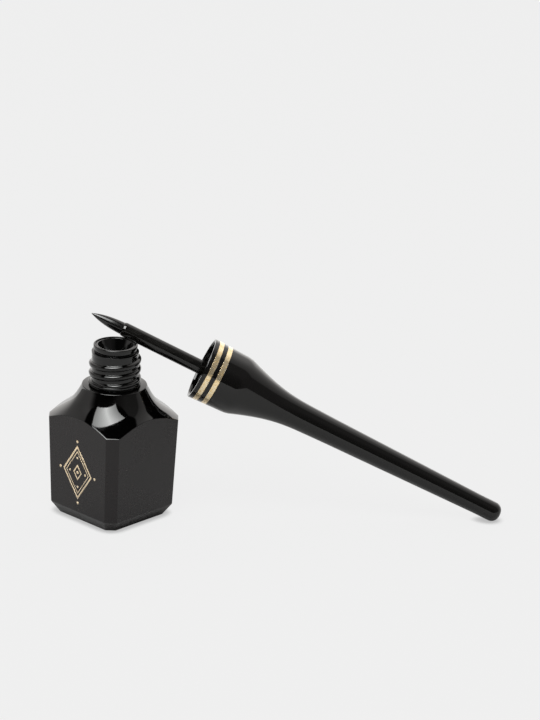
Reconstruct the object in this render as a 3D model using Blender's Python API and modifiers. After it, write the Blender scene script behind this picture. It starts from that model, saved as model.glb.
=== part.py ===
# A liquid eyeliner with its cap off: a square bottle with a threaded neck and, leaning on the
# neck, the applicator, whose handle is also the bottle's cap.
#
# The origin is the middle of the bottle's underside, +Z is up, and +X runs along the floor
# from the bottle towards the far end of the handle. Lengths are in metres, angles in degrees.

import math

import bmesh
import bpy
from mathutils import Vector

# How smooth the turned pieces are, and how near their points have to be to be joined.
BOTTLE_STEPS = 60
APPLICATOR_STEPS = 40
CURVE_POINTS = 12
ROUND_POINTS = 4
JOIN_DISTANCE = 0.000001

# Clearances.
SEAT_CLEARANCE = 0.00015
FOIL_CLEARANCE = 0.00003
LEAN_CLEARANCE = 0.00006
CUT_OVERRUN = 0.002

# The bottle's body: a square with cut corners, a little wider at its shoulder than at its foot.
SHOULDER_HALF_WIDTH = 0.0126
SHOULDER_CORNER_Z = 0.02595
SIDE_TAPER_PER_HEIGHT_SHARE = 0.0318
CORNER_CUT = 0.0023
FOOT_BEVEL_HEIGHT = 0.003
FOOT_BEVEL_INSET = 0.0019
BOTTLE_YAW = 48.5
WALL = 0.0018
FLOOR_THICKNESS = 0.0022

# The shoulder: a turned hollow curve that falls from the ledge to the corners.
LEDGE_R = 0.00817
LEDGE_Z = 0.03445
LEDGE_EDGE = 0.00025
SHOULDER_END_R = 0.01662
SHOULDER_END_Z = 0.0255
SHOULDER_TOP_SLOPE = 62.8
SHOULDER_END_SLOPE = 34.7
SHOULDER_TOP_REACH = 0.00515
SHOULDER_END_REACH = 0.00725

# The neck. Its lip narrows down to a waist. The screw thread between the waist and the bead is
# left to the finish.
NECK_HEIGHT = 0.0106
NECK_R = 0.00586
BEAD_R = 0.00658
BEAD_HEIGHT = 0.00065
BEAD_ROUND = 0.0002
BEAD_GAP = 0.00042
BEAD_GROOVE_R = 0.00615
WAIST_R = 0.00532
WAIST_HEIGHT = 0.00012
LIP_R = 0.00553
LIP_HEIGHT = 0.00165
LIP_ROUND = 0.00035
NECK_BORE_R = 0.00478
WIPER_SEAT_R = 0.005
WIPER_SEAT_DEPTH = 0.0007

# The wiper: a soft sleeve pressed in the neck, drawn in to a hole that strips the stem.
WIPER_MOUTH_R = 0.00427
WIPER_WALL = 0.0004
WIPER_SLEEVE_LENGTH = 0.0068
WIPER_CONE_LENGTH = 0.0024
WIPER_TIP_LENGTH = 0.0009
WIPER_HOLE_R = 0.00172

# The handle, from the mouth of its bell to its rounded far end.
HANDLE_LENGTH = 0.08472
MOUTH_R = 0.00804
MOUTH_ROUND = 0.0002
KNEE_FROM_MOUTH = 0.0104
KNEE_R = 0.00768
KNEE_ROUND = 0.0009
TRUMPET_LENGTH = 0.0254
THROAT_R = 0.0034
THROAT_SLOPE_SHARE = 0.036
FLARE_SLOPE_SHARE = 0.367
THROAT_REACH_SHARE = 0.42
FLARE_REACH_SHARE = 0.468
HANDLE_END_R = 0.0025
HANDLE_END_ROUND = 0.0021
HANDLE_END_STRAIGHT = 0.0045

# The hollow of the bell, which holds the threaded insert.
BELL_WALL = 0.0005
INSERT_SOCKET_R = 0.003
INSERT_SOCKET_DEPTH = 0.0068

# Two bands of gold foil round the bell.
BAND_FROM_MOUTH = 0.00125
BAND_WIDTH = 0.00132
BAND_GAP = 0.00103
BAND_THICKNESS = 0.00014

# The threaded insert inside the bell.
INSERT_FROM_MOUTH = 0.0016
INSERT_WALL = 0.00045
INSERT_PLATE = 0.0011

# The sealing washer that closes on the bottle's lip.
WASHER_THICKNESS = 0.0008

# The stem and its nib.
STEM_R = 0.00183
STEM_REACH = 0.0223
STEM_END_TAPER = 0.0009
STEM_END_R = 0.00164
STEM_ROOT_CHAMFER = 0.0003
NIB_R = 0.00158
NIB_LENGTH = 0.0085
NIB_POINT_R = 0.00008
NIB_FULL_REACH_SHARE = 0.42
NIB_FULL_R_SHARE = 0.95
NIB_POINT_REACH_SHARE = 0.27
NIB_POINT_R_SHARE = 0.66
NIB_TAIL_R = 0.0011
NIB_TAIL_LENGTH = 0.0044

# How the applicator lies: its stem crosses the neck behind the bottle's middle, and the point
# of its axis that is level with the bottle's middle is this far outside the bell's mouth.
LEAN_SIDE_OFFSET = 0.0063
LEAN_FROM_MOUTH = 0.0236


def remove_all_objects():
    for item in list(bpy.data.objects):
        bpy.data.objects.remove(item, do_unlink=True)


def new_collection(name):
    group = bpy.data.collections.new(name)
    bpy.context.scene.collection.children.link(group)
    return group


def plastic(name, colour, roughness, metallic=0.0):
    material = bpy.data.materials.new(name)
    material.use_nodes = True
    shader = material.node_tree.nodes["Principled BSDF"]
    shader.inputs["Base Color"].default_value = (*colour, 1.0)
    shader.inputs["Roughness"].default_value = roughness
    shader.inputs["Metallic"].default_value = metallic
    return material


def curve_points(start, start_pull, end_pull, end, count=CURVE_POINTS):
    """Points of a smooth curve from start to end; the pulls are its two inner handles."""
    points = []
    for step in range(count + 1):
        t = step / count
        u = 1 - t
        weights = (u ** 3, 3 * t * u ** 2, 3 * t ** 2 * u, t ** 3)
        corners = (start, start_pull, end_pull, end)
        points.append(tuple(sum(w * c[axis] for w, c in zip(weights, corners)) for axis in (0, 1)))
    return points


def arc_points(centre, radius, start_angle, end_angle, count=ROUND_POINTS):
    """Points of an arc in the plane of the profile; angle 0 is outwards and 90 is up."""
    points = []
    for step in range(count + 1):
        angle = math.radians(start_angle + (end_angle - start_angle) * step / count)
        points.append((centre[0] + radius * math.cos(angle), centre[1] + radius * math.sin(angle)))
    return points


def offset_points(points, distance):
    """The same run of points, moved square to the run towards its inner side."""
    moved = []
    for index, (r, z) in enumerate(points):
        before = points[max(index - 1, 0)]
        after = points[min(index + 1, len(points) - 1)]
        dr, dz = after[0] - before[0], after[1] - before[1]
        length = math.hypot(dr, dz)
        moved.append((r + distance * dz / length, z - distance * dr / length))
    return moved


def turned(name, group, profile, steps, closed=False):
    """A turned piece. The profile runs down its outer side and, if hollow, up its inner side."""
    shape = bmesh.new()
    corners = [shape.verts.new((r, 0.0, z)) for r, z in profile]
    for first, second in zip(corners, corners[1:]):
        shape.edges.new((first, second))
    if closed:
        shape.edges.new((corners[-1], corners[0]))
    mesh = bpy.data.meshes.new(name)
    shape.to_mesh(mesh)
    shape.free()
    item = bpy.data.objects.new(name, mesh)
    group.objects.link(item)
    screw = item.modifiers.new("turn", "SCREW")
    screw.steps = steps
    screw.render_steps = steps
    screw.use_merge_vertices = True
    screw.merge_threshold = JOIN_DISTANCE
    screw.use_smooth_shade = True
    return item


def make_cutter(item):
    item.hide_render = True
    item.display_type = "WIRE"
    return item


def add_boolean(item, other, operation):
    cut = item.modifiers.new(operation.lower(), "BOOLEAN")
    cut.object = other
    cut.operation = operation
    cut.solver = "EXACT"


def paint(item, material):
    item.data.materials.append(material)


# The bottle

def side_half_width(z):
    """Half the body's width at a height; the sides lean outwards as they rise."""
    return SHOULDER_HALF_WIDTH + SIDE_TAPER_PER_HEIGHT_SHARE * (z - SHOULDER_CORNER_Z)


def body_prism(name, group, inset, floor_z, top_z):
    """The body's square with cut corners, from floor to top, drawn in all round by inset."""
    cut_loss_share = 2 - math.sqrt(2)
    shape = bmesh.new()
    bmesh.ops.create_cube(shape, size=1.0)
    foot_top = FOOT_BEVEL_HEIGHT + inset
    middle = side_half_width(foot_top) - inset
    span = (2 * middle, 2 * middle, top_z - floor_z)
    bmesh.ops.scale(shape, vec=span, verts=shape.verts)
    bmesh.ops.translate(shape, vec=(0, 0, (top_z + floor_z) / 2), verts=shape.verts)
    upright = [e for e in shape.edges if abs(e.verts[0].co.z - e.verts[1].co.z) > span[2] / 2]
    bmesh.ops.bevel(shape, geom=upright, offset=CORNER_CUT - cut_loss_share * inset, segments=1,
                    affect="EDGES", profile=0.5, material=-1)
    bmesh.ops.bisect_plane(shape, geom=shape.verts[:] + shape.edges[:] + shape.faces[:],
                           dist=SEAT_CLEARANCE / 100, plane_co=(0, 0, foot_top),
                           plane_no=(0, 0, 1))
    foot_slope_share = FOOT_BEVEL_INSET / FOOT_BEVEL_HEIGHT
    for z, half in ((floor_z, middle - foot_slope_share * (foot_top - floor_z)),
                    (top_z, side_half_width(top_z) - inset)):
        ring = [v for v in shape.verts if abs(v.co.z - z) < SEAT_CLEARANCE / 2]
        bmesh.ops.scale(shape, vec=(half / middle, half / middle, 1), verts=ring)
    mesh = bpy.data.meshes.new(name)
    shape.to_mesh(mesh)
    shape.free()
    item = bpy.data.objects.new(name, mesh)
    group.objects.link(item)
    return item


def shoulder_curve():
    """The shoulder's hollow curve, from the ledge's edge down and out to past the corners."""
    start = (LEDGE_R, LEDGE_Z - LEDGE_EDGE)
    end = (SHOULDER_END_R, SHOULDER_END_Z)
    top, foot = math.radians(SHOULDER_TOP_SLOPE), math.radians(SHOULDER_END_SLOPE)
    start_pull = (start[0] + SHOULDER_TOP_REACH * math.cos(top),
                  start[1] - SHOULDER_TOP_REACH * math.sin(top))
    end_pull = (end[0] - SHOULDER_END_REACH * math.cos(foot),
                end[1] + SHOULDER_END_REACH * math.sin(foot))
    return curve_points(start, start_pull, end_pull, end)


def lip_top():
    return LEDGE_Z + NECK_HEIGHT


def bottle_outer_profile():
    top = lip_top()
    step_z = top - LIP_HEIGHT - WAIST_HEIGHT
    bead_foot = LEDGE_Z + BEAD_GAP
    bead_top = bead_foot + BEAD_HEIGHT
    wide_r = SHOULDER_END_R + CUT_OVERRUN
    profile = [(0, top)]
    profile += arc_points((LIP_R - LIP_ROUND, top - LIP_ROUND), LIP_ROUND, 90, 0)
    profile += [(WAIST_R, top - LIP_HEIGHT), (WAIST_R, step_z), (NECK_R, step_z)]
    profile += [(NECK_R, bead_top)]
    profile += arc_points((BEAD_R - BEAD_ROUND, bead_top - BEAD_ROUND), BEAD_ROUND, 90, 0, 2)
    profile += [(BEAD_R, bead_foot), (BEAD_GROOVE_R, bead_foot), (BEAD_GROOVE_R, LEDGE_Z)]
    profile += [(LEDGE_R, LEDGE_Z)]
    profile += shoulder_curve()
    profile += [(wide_r, SHOULDER_END_Z - wide_r + SHOULDER_END_R)]
    profile += [(wide_r, -CUT_OVERRUN), (0, -CUT_OVERRUN)]
    return profile


def bottle_hollow_profile():
    top = lip_top()
    ceiling = offset_points(shoulder_curve(), WALL)
    wide_r = SHOULDER_END_R + CUT_OVERRUN
    profile = [(0, top + CUT_OVERRUN), (WIPER_SEAT_R, top + CUT_OVERRUN)]
    profile += [(WIPER_SEAT_R, top - WIPER_SEAT_DEPTH), (NECK_BORE_R, top - WIPER_SEAT_DEPTH)]
    profile += [(NECK_BORE_R, ceiling[0][1])]
    profile += ceiling
    profile += [(wide_r, ceiling[-1][1] - wide_r + ceiling[-1][0])]
    profile += [(wide_r, FLOOR_THICKNESS - CUT_OVERRUN), (0, FLOOR_THICKNESS - CUT_OVERRUN)]
    return profile


def make_bottle(group, cutters, material):
    """The square body meets the turned shoulder in four arched edges and four corner points."""
    item = body_prism("bottle", group, 0.0, 0.0, lip_top() + CUT_OVERRUN)
    outer = make_cutter(turned("bottle_turned_outer", cutters, bottle_outer_profile(),
                               BOTTLE_STEPS))
    add_boolean(item, outer, "INTERSECT")
    hollow = make_cutter(body_prism("bottle_hollow", cutters, WALL, FLOOR_THICKNESS,
                                    lip_top() + 2 * CUT_OVERRUN))
    inner = make_cutter(turned("bottle_turned_hollow", cutters, bottle_hollow_profile(),
                               BOTTLE_STEPS))
    add_boolean(hollow, inner, "INTERSECT")
    add_boolean(item, hollow, "DIFFERENCE")
    for part in (item, outer, hollow, inner):
        part.rotation_euler.z = math.radians(BOTTLE_YAW)
    paint(item, material)
    return item


def make_wiper(group, material):
    top = lip_top() - SEAT_CLEARANCE
    flange_foot = lip_top() - WIPER_SEAT_DEPTH + SEAT_CLEARANCE
    cone_top = top - WIPER_SLEEVE_LENGTH
    cone_foot = cone_top - WIPER_CONE_LENGTH
    tip = cone_foot - WIPER_TIP_LENGTH
    sleeve_r = NECK_BORE_R - SEAT_CLEARANCE
    flange_r = WIPER_SEAT_R - SEAT_CLEARANCE / 2
    profile = [(flange_r, top), (flange_r, flange_foot), (sleeve_r, flange_foot)]
    profile += [(sleeve_r, cone_top), (WIPER_HOLE_R + WIPER_WALL, cone_foot)]
    profile += [(WIPER_HOLE_R + WIPER_WALL, tip), (WIPER_HOLE_R, tip)]
    profile += [(WIPER_HOLE_R, cone_foot), (WIPER_MOUTH_R, cone_top), (WIPER_MOUTH_R, top)]
    item = turned("wiper", group, profile, BOTTLE_STEPS, closed=True)
    item.rotation_euler.z = math.radians(BOTTLE_YAW)
    paint(item, material)
    return item


# The applicator, drawn upright with the bell's mouth at height zero and the handle above it

def bell_r(z):
    """The bell's outer radius between its mouth and its knee."""
    return MOUTH_R + (KNEE_R - MOUTH_R) * z / KNEE_FROM_MOUTH


def trumpet_curve():
    """From the handle's throat down to the knee of the bell."""
    throat_z = KNEE_FROM_MOUTH + TRUMPET_LENGTH
    throat_reach = THROAT_REACH_SHARE * TRUMPET_LENGTH
    flare_reach = FLARE_REACH_SHARE * TRUMPET_LENGTH
    return curve_points(
        (THROAT_R, throat_z),
        (THROAT_R + THROAT_SLOPE_SHARE * throat_reach, throat_z - throat_reach),
        (KNEE_R - FLARE_SLOPE_SHARE * flare_reach, KNEE_FROM_MOUTH + flare_reach),
        (KNEE_R, KNEE_FROM_MOUTH))


def softened_knee(curve):
    """The curve without its last stretch, which a short arc to the bell's side replaces."""
    kept = [point for point in curve if point[1] > KNEE_FROM_MOUTH + KNEE_ROUND]
    below = KNEE_FROM_MOUTH - KNEE_ROUND
    return kept + curve_points(kept[-1], (KNEE_R, KNEE_FROM_MOUTH), (KNEE_R, KNEE_FROM_MOUTH),
                               (bell_r(below), below), ROUND_POINTS)[1:]


def band_starts():
    """How far each gold band starts from the mouth, the front one first."""
    return (BAND_FROM_MOUTH, BAND_FROM_MOUTH + BAND_WIDTH + BAND_GAP)


def bell_bore_r():
    """The insert's socket in the bell, a straight bore that keeps the wall at the knee."""
    return KNEE_R - BELL_WALL


def washer_z():
    """Where the washer's face lies when the bell's mouth stands on the ledge."""
    return NECK_HEIGHT


def insert_plate_top():
    return washer_z() + WASHER_THICKNESS + SEAT_CLEARANCE + INSERT_PLATE


def bell_side_z():
    """How deep the straight part of the bell's hollow is, measured from the mouth."""
    return KNEE_FROM_MOUTH - KNEE_ROUND / 2


def bell_ceiling():
    """Radius and height of the flat end of the bell's hollow."""
    z = insert_plate_top() + SEAT_CLEARANCE
    outer = trumpet_curve()
    below = min(outer, key=lambda point: abs(point[1] - z))
    return below[0] - 2 * BELL_WALL, z


def handle_profile():
    length = HANDLE_LENGTH
    profile = [(0, length)]
    profile += arc_points((HANDLE_END_R - HANDLE_END_ROUND, length - HANDLE_END_ROUND),
                          HANDLE_END_ROUND, 90, 0, 2 * ROUND_POINTS)
    profile += [(HANDLE_END_R, length - HANDLE_END_ROUND - HANDLE_END_STRAIGHT)]
    profile += softened_knee(trumpet_curve())
    for start in reversed(band_starts()):
        end = start + BAND_WIDTH
        profile += [(bell_r(end), end), (bell_r(end) - BAND_THICKNESS, end)]
        profile += [(bell_r(start) - BAND_THICKNESS, start), (bell_r(start), start)]
    profile += arc_points((MOUTH_R - MOUTH_ROUND, MOUTH_ROUND), MOUTH_ROUND, 0, -90, 2)
    ceiling_r, ceiling_z = bell_ceiling()
    profile += [(bell_bore_r(), 0), (bell_bore_r(), bell_side_z()), (ceiling_r, ceiling_z)]
    profile += [(INSERT_SOCKET_R, ceiling_z), (INSERT_SOCKET_R, ceiling_z + INSERT_SOCKET_DEPTH)]
    profile += [(0, ceiling_z + INSERT_SOCKET_DEPTH)]
    return profile


def band_profile(start):
    end = start + BAND_WIDTH - FOIL_CLEARANCE
    foot = start + FOIL_CLEARANCE
    depth = BAND_THICKNESS - FOIL_CLEARANCE
    return [(bell_r(end), end), (bell_r(foot), foot),
            (bell_r(foot) - depth, foot), (bell_r(end) - depth, end)]


def insert_profile():
    """The threaded insert, without its thread: a cup with a boss that grips the stem."""
    ceiling_r, ceiling_z = bell_ceiling()
    plate_top = insert_plate_top()
    side_r = bell_bore_r() - SEAT_CLEARANCE
    shoulder_r = ceiling_r - SEAT_CLEARANCE
    boss_r = INSERT_SOCKET_R - SEAT_CLEARANCE
    boss_top = ceiling_z + INSERT_SOCKET_DEPTH - SEAT_CLEARANCE
    hole_r = STEM_R + SEAT_CLEARANCE / 2
    plate_foot = plate_top - INSERT_PLATE
    side_z = bell_side_z() - SEAT_CLEARANCE
    profile = [(boss_r, boss_top), (boss_r, plate_top), (shoulder_r, plate_top)]
    profile += [(side_r, side_z), (side_r, INSERT_FROM_MOUTH)]
    profile += [(side_r - INSERT_WALL, INSERT_FROM_MOUTH), (side_r - INSERT_WALL, side_z)]
    profile += [(shoulder_r - INSERT_WALL / 2, plate_foot), (hole_r, plate_foot)]
    profile += [(hole_r, boss_top)]
    return profile


def washer_profile():
    """The washer lies against the insert's plate and is held by the side of the insert."""
    outer_r = bell_ceiling()[0] - INSERT_WALL - 2 * SEAT_CLEARANCE
    hole_r = STEM_R + SEAT_CLEARANCE
    foot = washer_z()
    top = foot + WASHER_THICKNESS
    return [(outer_r, top), (outer_r, foot), (hole_r, foot), (hole_r, top)]


def stem_profile():
    top = bell_ceiling()[1] + INSERT_SOCKET_DEPTH - SEAT_CLEARANCE
    foot = -STEM_REACH
    hole_r = NIB_TAIL_R + SEAT_CLEARANCE / 2
    hole_top = foot + NIB_TAIL_LENGTH + SEAT_CLEARANCE
    return [(0, top), (STEM_R - STEM_ROOT_CHAMFER, top), (STEM_R, top - STEM_ROOT_CHAMFER),
            (STEM_R, foot + STEM_END_TAPER), (STEM_END_R, foot), (hole_r, foot),
            (hole_r, hole_top), (0, hole_top)]


def nib_profile():
    """A soft point that swells from its collar and closes to a fine tip, with a tail behind."""
    shoulder = -STEM_REACH - SEAT_CLEARANCE / 2
    tip = shoulder - NIB_LENGTH
    tail_top = -STEM_REACH + NIB_TAIL_LENGTH
    profile = [(0, tail_top), (NIB_TAIL_R, tail_top), (NIB_TAIL_R, shoulder)]
    profile += curve_points(
        (NIB_R, shoulder),
        (NIB_FULL_R_SHARE * NIB_R, shoulder - NIB_FULL_REACH_SHARE * NIB_LENGTH),
        (NIB_POINT_R_SHARE * NIB_R, tip + NIB_POINT_REACH_SHARE * NIB_LENGTH),
        (NIB_POINT_R, tip))
    profile += [(0, tip)]
    return profile


# How the applicator lies

def axis_heights(lean):
    """The height of the applicator's axis level with the bottle's middle, and at the mouth."""
    round_from_mouth = HANDLE_LENGTH - HANDLE_END_ROUND
    round_z = HANDLE_END_ROUND + (HANDLE_END_R - HANDLE_END_ROUND) * math.cos(lean)
    mouth_z = round_z + round_from_mouth * math.sin(lean)
    return mouth_z + LEAN_FROM_MOUTH * math.sin(lean), mouth_z


def lip_gap(lean):
    """The gap between the stem and the lip's rounded edge when the handle's end is down."""
    middle_z, _ = axis_heights(lean)
    start = Vector((0, LEAN_SIDE_OFFSET, middle_z))
    along = Vector((math.cos(lean), 0, -math.sin(lean)))
    ring_r, ring_z = LIP_R - LIP_ROUND, lip_top() - LIP_ROUND
    nearest = None
    for step in range(720):
        angle = math.radians(step / 2)
        spot = Vector((ring_r * math.cos(angle), ring_r * math.sin(angle), ring_z)) - start
        distance = (spot - along * spot.dot(along)).length
        if nearest is None or distance < nearest:
            nearest = distance
    return nearest - LIP_ROUND - STEM_R


def lean_angle():
    """The slope at which the stem lies on the lip while the handle's end touches the floor."""
    low, high = math.radians(5), math.radians(60)
    for _ in range(40):
        middle = (low + high) / 2
        too_low = axis_heights(middle)[0] < lip_top() or lip_gap(middle) < LEAN_CLEARANCE
        if too_low:
            low = middle
        else:
            high = middle
    return high


def make_applicator_axis(group):
    """An empty in the middle of the bell's mouth, its Z axis running up the handle."""
    lean = lean_angle()
    mouth_z = axis_heights(lean)[1]
    axis = bpy.data.objects.new("applicator_axis", None)
    axis.location = (LEAN_FROM_MOUTH * math.cos(lean), LEAN_SIDE_OFFSET, mouth_z)
    axis.rotation_euler = (0, math.radians(90) + lean, 0)
    axis.empty_display_size = MOUTH_R
    group.objects.link(axis)
    return axis


def make_applicator(group, axis, gloss, gold, insert_plastic, washer_foam, stem_plastic, felt):
    front, rear = band_starts()
    pieces = [
        (turned("handle_shell", group, handle_profile(), APPLICATOR_STEPS), gloss),
        (turned("gold_band_front", group, band_profile(front), APPLICATOR_STEPS, True), gold),
        (turned("gold_band_rear", group, band_profile(rear), APPLICATOR_STEPS, True), gold),
        (turned("inner_cap", group, insert_profile(), APPLICATOR_STEPS, True), insert_plastic),
        (turned("cap_washer", group, washer_profile(), APPLICATOR_STEPS, True), washer_foam),
        (turned("stem", group, stem_profile(), APPLICATOR_STEPS), stem_plastic),
        (turned("nib", group, nib_profile(), APPLICATOR_STEPS), felt),
    ]
    for item, material in pieces:
        item.parent = axis
        paint(item, material)


def main():
    remove_all_objects()
    parts = new_collection("eyeliner")
    cutters = new_collection("cutters")
    gloss_black = plastic("gloss_black_plastic", (0.012, 0.011, 0.011), 0.12)
    body_black = plastic("satin_black_plastic", (0.03, 0.028, 0.028), 0.3)
    wiper_black = plastic("wiper_plastic", (0.02, 0.02, 0.02), 0.35)
    gold = plastic("gold_foil", (0.83, 0.63, 0.32), 0.22, 1.0)
    insert_black = plastic("insert_plastic", (0.02, 0.02, 0.02), 0.3)
    foam = plastic("washer_foam", (0.75, 0.74, 0.7), 0.8)
    stem_black = plastic("stem_plastic", (0.015, 0.014, 0.013), 0.2)
    felt = plastic("inked_felt", (0.006, 0.006, 0.006), 0.15)
    make_bottle(parts, cutters, body_black)
    make_wiper(parts, wiper_black)
    axis = make_applicator_axis(parts)
    make_applicator(parts, axis, gloss_black, gold, insert_black, foam, stem_black, felt)


main()
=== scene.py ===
# An opened liquid eyeliner in a plain pale studio: the square black bottle with its threaded
# neck, and the long-handled cap lying with its stem on the neck. Shapes are drawn in
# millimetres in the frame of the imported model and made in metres. Angles given as numbers are
# in degrees.

import math

import bmesh
import bpy
from mathutils import Matrix, Vector


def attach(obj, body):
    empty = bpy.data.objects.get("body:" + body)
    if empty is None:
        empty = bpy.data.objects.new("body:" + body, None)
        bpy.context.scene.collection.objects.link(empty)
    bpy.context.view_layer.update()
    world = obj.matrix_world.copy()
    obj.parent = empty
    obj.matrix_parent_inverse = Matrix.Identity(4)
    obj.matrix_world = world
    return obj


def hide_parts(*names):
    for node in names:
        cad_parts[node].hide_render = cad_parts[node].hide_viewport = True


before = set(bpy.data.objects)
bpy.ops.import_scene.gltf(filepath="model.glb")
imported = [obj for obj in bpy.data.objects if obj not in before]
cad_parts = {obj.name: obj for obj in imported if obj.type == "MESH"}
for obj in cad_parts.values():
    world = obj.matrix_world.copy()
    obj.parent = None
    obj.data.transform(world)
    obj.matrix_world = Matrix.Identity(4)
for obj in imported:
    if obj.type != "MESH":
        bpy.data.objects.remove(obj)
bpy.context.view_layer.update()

MM = 0.001

# Points nearer than SAME_POINT are joined, and EDGE_HOLD is how near an edge a long flat stretch
# has its extra points.
SAME_POINT = 0.0001
EDGE_HOLD = 0.06


# Drawing lines

def bezier(start, start_pull, end_pull, end, t):
    """A point of a smooth curve from start to end; the pulls are its two inner handles."""
    u = 1 - t
    weights = (u ** 3, 3 * t * u ** 2, 3 * t ** 2 * u, t ** 3)
    corners = (start, start_pull, end_pull, end)
    return tuple(sum(w * c[axis] for w, c in zip(weights, corners)) for axis in (0, 1))


def bend(start, corner, end, shares):
    """Points at these shares of the soft bend that runs from start to end inside a corner."""
    spots = [start * (1 - t) ** 2 + corner * 2 * t * (1 - t) + end * t ** 2 for t in shares]
    return [(spot.x, spot.y) for spot in spots]


def rounded(points, radii, count=4):
    """A run of (r, z) corners with each corner drawn as a small arc of the given radius."""
    out = []
    for index, (corner, radius) in enumerate(zip(points, radii)):
        if radius == 0 or index in (0, len(points) - 1):
            out.append(corner)
            continue
        here = Vector(corner)
        back = Vector(points[index - 1]) - here
        ahead = Vector(points[index + 1]) - here
        turn = math.pi - back.angle(ahead)
        reach = min(radius * math.tan(turn / 2), back.length * 0.49, ahead.length * 0.49)
        out += bend(here + back.normalized() * reach, here, here + ahead.normalized() * reach,
                    [step / count for step in range(count + 1)])
    return out


def smooth_share(low, high, value):
    """0 below low and 1 above high, with a smooth climb between."""
    t = min(max((value - low) / (high - low), 0.0), 1.0)
    return t * t * (3 - 2 * t)


def stood(line, angle):
    """A line of (r, z) points, stood up at an angle round the axis."""
    return [Vector((r * math.cos(angle), r * math.sin(angle), z)) for r, z in line]


# Making pieces

def piece(name, shape, place, body, materials, replaced=()):
    """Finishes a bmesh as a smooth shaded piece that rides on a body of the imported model."""
    bmesh.ops.transform(shape, matrix=place, verts=shape.verts)
    bmesh.ops.scale(shape, vec=(MM, MM, MM), verts=shape.verts)
    for face in shape.faces:
        face.smooth = True
    mesh = bpy.data.meshes.new(name)
    shape.to_mesh(mesh)
    shape.free()
    item = bpy.data.objects.new(name, mesh)
    bpy.context.scene.collection.objects.link(item)
    for material in materials:
        mesh.materials.append(material)
    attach(item, body)
    if replaced:
        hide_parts(*replaced)


def held(profile, closed, hold):
    """The same profile with a point near each end of a long stretch, so that it shades flat."""
    points = [Vector(point) for point in profile]
    ends = points[1:] + points[:1] if closed else points[1:]
    out = []
    for here, there in zip(points, ends):
        out.append(here)
        if (there - here).length > 6 * hold:
            step = (there - here).normalized() * hold
            out += [here + step, there - step]
    return out if closed else out + [points[-1]]


def spun(profile, steps, closed=False, hold=EDGE_HOLD):
    """A turned shape about the Z axis from a profile of (r, z) points."""
    shape = bmesh.new()
    corners = [shape.verts.new((r, 0.0, z)) for r, z in held(profile, closed, hold)]
    lines = [shape.edges.new(pair) for pair in zip(corners, corners[1:])]
    if closed:
        lines.append(shape.edges.new((corners[-1], corners[0])))
    bmesh.ops.spin(shape, geom=corners + lines, cent=(0, 0, 0), axis=(0, 0, 1),
                   angle=math.tau, steps=steps, use_merge=True)
    bmesh.ops.remove_doubles(shape, verts=shape.verts, dist=SAME_POINT)
    bmesh.ops.recalc_face_normals(shape, faces=shape.faces)
    return shape


def skinned(columns, closed_profile=False, second_below=0):
    """A closed skin over upright columns of points that stand side by side round the axis.
    Rows of faces before second_below take the piece's second material."""
    across, along = len(columns), len(columns[0])
    rows = along - 1 + closed_profile
    shape = bmesh.new()
    bmesh.ops.create_grid(shape, x_segments=across, y_segments=rows, size=1.0)
    for face in shape.faces:
        row = (face.calc_center_median().y + 1) / 2 * rows
        face.material_index = 0 if row > second_below else 1
    for vert in shape.verts:
        column = round((vert.co.x + 1) / 2 * across) % across
        row = round((vert.co.y + 1) / 2 * rows) % along
        vert.co = columns[column][row]
    bmesh.ops.remove_doubles(shape, verts=shape.verts, dist=SAME_POINT)
    bmesh.ops.recalc_face_normals(shape, faces=shape.faces)
    return shape


# The bottle's own frame stands on the middle of its underside, with its flat sides square to
# X and Y before it is turned to where it stands.

BOTTLE_YAW = math.radians(48.5)
BOTTLE_PLACE = Matrix.Rotation(BOTTLE_YAW, 4, "Z")

# The body: a square with cut corners. Its sides stand HALF_WIDTH from the axis at FULL_WIDTH_Z,
# lean outwards as they rise, and are cut back at the foot.
HALF_WIDTH = 12.6
FULL_WIDTH_Z = 25.95
SIDE_LEAN = 0.0318
CORNER_CUT = 2.3
CORNER_ROUND = 0.3
FOOT_CUT_TOP = 3.0
FOOT_CUT_DEPTH = 1.9
SIDE_FOOT_Z = 4.2
SIDE_STEPS = 22
SIDE_ROWS = 8

# The shoulder: a turned hollow curve from the ledge's edge down and out past the corners. Each
# end has its slope and the pull of its handle. The curve meets the sides in arched edges, each
# drawn as a soft bend.
LEDGE_EDGE = (8.17, 34.2)
LEDGE_PULL = 5.15
LEDGE_SLOPE = math.radians(62.8)
CORNER_END = (16.62, 25.5)
CORNER_PULL = 7.25
CORNER_SLOPE = math.radians(34.7)
SHOULDER_LINE = (LEDGE_EDGE,
                 (LEDGE_EDGE[0] + LEDGE_PULL * math.cos(LEDGE_SLOPE),
                  LEDGE_EDGE[1] - LEDGE_PULL * math.sin(LEDGE_SLOPE)),
                 (CORNER_END[0] - CORNER_PULL * math.cos(CORNER_SLOPE),
                  CORNER_END[1] + CORNER_PULL * math.sin(CORNER_SLOPE)),
                 CORNER_END)
SHOULDER_ROWS = 46
ARCH_BEND_SHARE = 0.007
ARCH_BEND_DROP = 0.1

# The neck, between the bead under the lip and the collar on the ledge.
NECK_R = 5.86
NECK_TOP_Z = 42.6
NECK_FOOT_Z = 35.52
NECK_ROWS = 110

# The screw thread. One of its crests is at THREAD_FRONT_Z at the bearing THREAD_FRONT. It rises
# out of the neck over THREAD_FADE_IN and sinks back over THREAD_FADE_OUT, both in turns counted
# upwards from there. Above its crest it is THREAD_TOP_HALF wide, and below it THREAD_FOOT_HALF.
THREAD_PITCH = 2.42
THREAD_FRONT = math.radians(-86)
THREAD_FRONT_Z = 40.65
THREAD_HEIGHT = 0.7
THREAD_TOP_HALF = 0.56
THREAD_FOOT_HALF = 1.0
THREAD_FADE_IN = (-2.14, -1.98)
THREAD_FADE_OUT = (0.3, 0.72)

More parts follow.
